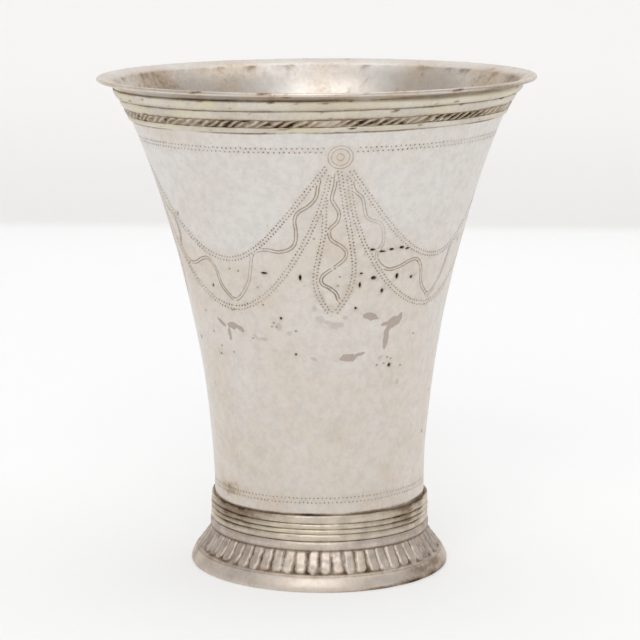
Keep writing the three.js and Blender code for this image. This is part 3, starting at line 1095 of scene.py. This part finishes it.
def stain_mask(shader, stains, low, high):
    """Ragged spots on the unrolled wall, each an ellipse."""
    skin = shader.node("ShaderNodeUVMap", uv_map="skin").outputs[0]
    ragged = shader.node("ShaderNodeTexNoise", {"Vector": skin, "Scale": 110, "Detail": 3}).outputs["Fac"]
    nearest = 10.0
    for angle, z, length, width, tilt in stains:
        stretch = FLAT_RADIUS / float(wall_radius(z))
        across = math.radians(turned_into_seam(angle)) * FLAT_RADIUS
        placed = shader.node("ShaderNodeMapping", {
            "Vector": skin,
            "Location": (across / SKIN_UNIT, z / SKIN_UNIT, 0),
            "Rotation": (0, 0, math.radians(tilt)),
            "Scale": (length * stretch / SKIN_UNIT, width / SKIN_UNIT, 1),
        }, vector_type="TEXTURE")
        away = shader.node("ShaderNodeVectorMath", {0: placed.outputs[0]}, operation="LENGTH")
        nearest = shader.math("MINIMUM", nearest, away.outputs["Value"])
    return shader.spread(shader.plus(nearest, ragged), high, low)


def metal_colour(shader, place, clouds, grain, clean, tarnished):
    """From clean to tarnished in clouds, with greyer blotches and the remains of gilding. The same mix also
    paints the shade and highlight that the mask holds.
    """
    tarnish_and_shading = shader.times(shader.mask("tarnish_and_shading"), shader.plus(shader.times(clouds, 1.8), 0.1))
    uneven = shader.times(shader.math("SUBTRACT", grain, 0.5), 0.55)
    colour = shader.mix(shader.plus(tarnish_and_shading, uneven, clamp=True), clean, tarnished)
    blotches = shader.spread(shader.noise(place, 1.8, 6, 0.7), 0.4, 0.66)
    colour = shader.mix(shader.times(blotches, 0.28), colour, GREY_BLOTCH)
    gilding = shader.times(shader.mask("gilt"), shader.spread(clouds, 0.3, 0.62), clamp=True)
    return shader.mix(gilding, colour, GILDING)


def stained_colour(shader, colour):
    faint = shader.times(stain_mask(shader, FAINT_STAINS, 1.1, 1.7), 0.22)
    brown = shader.times(stain_mask(shader, BROWN_STAINS, 1.35, 1.55), 0.58)
    return shader.mix(brown, shader.mix(faint, colour, FAINT_STAIN), BROWN_STAIN)


def speckled_colour(shader, place, colour):
    """A few small specks, and many more where the metal is tarnished."""
    fine = shader.noise(place, 1.5, 5, 0.7)
    few = shader.times(shader.spread(fine, 0.66, 0.74), 0.35)
    tarnished = shader.times(shader.spread(shader.mask("tarnish_and_shading"), 0.3, 0.7), 0.6)
    many = shader.times(shader.spread(fine, 0.52, 0.68), tarnished)
    return shader.mix(shader.math("MAXIMUM", few, many), colour, DARK_SPECK)


def old_silver(name, clean, tarnished, roughness, stained=False):
    """Worn silver. The mesh says where it is tarnished, gilded and dirty, and where shade and highlight are
    painted, and noise breaks that up.
    """
    shader = Shader(name)
    place = shader.node("ShaderNodeTexCoord").outputs["Object"]
    clouds = shader.noise(place, 5, 6, 0.6)
    grain = shader.noise(place, 0.8, 4, 0.65)
    colour = metal_colour(shader, place, clouds, grain, clean, tarnished)
    if stained:
        colour = stained_colour(shader, colour)
    colour = speckled_colour(shader, place, colour)
    # The mask read here also holds painted shade and shadow, which these mixes paint as well
    dirt_and_shade = shader.times(shader.mask("dirt_and_shade"), shader.plus(shader.times(grain, 1.3), 0.35))
    colour = shader.mix(shader.times(shader.spread(dirt_and_shade, 0.03, 0.4), 0.8), colour, THIN_DIRT_AND_SHADE)
    colour = shader.mix(shader.spread(dirt_and_shade, 0.38, 0.95), colour, THICK_DIRT_AND_SHADE)
    shader.feed("Base Color", colour)
    shader.feed("Metallic", 0.94)
    rough = shader.plus(shader.times(grain, 0.16), roughness - 0.08)
    shader.feed("Roughness", shader.plus(rough, shader.times(dirt_and_shade, 0.3), clamp=True))
    bump = shader.node("ShaderNodeBump", {"Strength": 0.3, "Distance": 0.03 * MM, "Height": grain})
    shader.feed("Normal", bump.outputs[0])
    return shader.material


# Stage, light and camera

WALL_DISTANCE = 0.472
WALL_BEND = 0.006
GLOW = 0.35
BEAKER_MIDDLE = (0, 0, 0.05)


def make_stage():
    """A white floor that meets a pale wall behind in a tight curve."""
    curve = arc(WALL_DISTANCE - WALL_BEND, WALL_BEND, WALL_BEND, -90, 0, 9)
    side = np.vstack([[(-1.2, 0.0)], curve, [(WALL_DISTANCE, 0.9)]])
    points = [(x, y, z) for y, z in side for x in (-1.6, 1.6)]
    faces = [(2 * i, 2 * i + 1, 2 * i + 3, 2 * i + 2) for i in range(len(side) - 1)]
    mesh = bpy.data.meshes.new("sweep")
    mesh.from_pydata(points, [], faces)
    mesh.shade_smooth()
    shader = Shader("pale_sweep")
    place = shader.node("ShaderNodeTexCoord").outputs["Object"]
    height = shader.node("ShaderNodeSeparateXYZ", {0: place}).outputs[2]
    # Painted shade: the wall glows darker just above the floor and paler higher up
    low_wall = shader.mix(shader.spread(height, 0, 0.004), rgb(246, 248, 248), rgb(216, 210, 204))
    colour = shader.mix(shader.spread(height, 0.0, 0.07), low_wall, rgb(244, 240, 236))
    shader.feed("Base Color", rgb(212, 212, 212))
    shader.feed("Emission Color", colour)
    shader.feed("Emission Strength", GLOW)
    shader.feed("Roughness", 0.9)
    mesh.materials.append(shader.material)
    sweep = add_object("sweep", mesh)


def add_light(name, place, size, power):
    """A softbox that faces the middle of the beaker."""
    data = bpy.data.lights.new(name, "AREA")
    data.shape = "RECTANGLE"
    data.size, data.size_y = size
    data.energy = power
    light = add_object(name, data)
    light.location = place
    ahead = Vector(BEAKER_MIDDLE) - Vector(place)
    light.rotation_euler = ahead.to_track_quat("-Z", "Y").to_euler()


def make_lights():
    world = bpy.data.worlds.new("studio")
    world.use_nodes = True
    background = world.node_tree.nodes["Background"]
    background.inputs["Color"].default_value = (1, 1, 1, 1)
    background.inputs["Strength"].default_value = 0.5
    bpy.context.scene.world = world
    add_light("front_softbox", (-0.12, -0.95, 0.75), (0.9, 0.7), 4.5)
    add_light("top_softbox", (0.1, 0.1, 1.1), (1.2, 1.2), 4)


# The photograph was taken from a little above, with a long lens
CAMERA_DISTANCE = 485.8
CAMERA_HEIGHT = 138.65
CAMERA_PITCH = 10.338
CAMERA_ROLL = 0.45
CAMERA_X = -0.21
FOCAL_PIXELS = 2415
FRAME_PIXELS = 640


def make_camera():
    data = bpy.data.cameras.new("camera")
    data.sensor_width = 36
    data.lens = FOCAL_PIXELS / FRAME_PIXELS * data.sensor_width
    data.clip_start = 0.05
    camera = add_object("camera", data)
    camera.location = ((FOOT_X + CAMERA_X) * MM, -CAMERA_DISTANCE * MM, CAMERA_HEIGHT * MM)
    camera.rotation_mode = "ZYX"
    camera.rotation_euler = (math.radians(90 - CAMERA_PITCH), 0, math.radians(CAMERA_ROLL))
    bpy.context.scene.camera = camera


make_body(old_silver("body_silver", rgb(224, 219, 214), rgb(208, 185, 158), 0.38, stained=True))
make_rim_moulding(old_silver("gilt_silver", rgb(221, 213, 201), rgb(150, 130, 112), 0.45))
make_collar(old_silver("collar_silver", rgb(219, 207, 190), rgb(122, 98, 80), 0.45))
make_foot(old_silver("foot_silver", rgb(223, 210, 198), rgb(128, 108, 92), 0.5))
make_stage()
make_lights()
make_camera()
bpy.context.scene.view_settings.view_transform = "Standard"
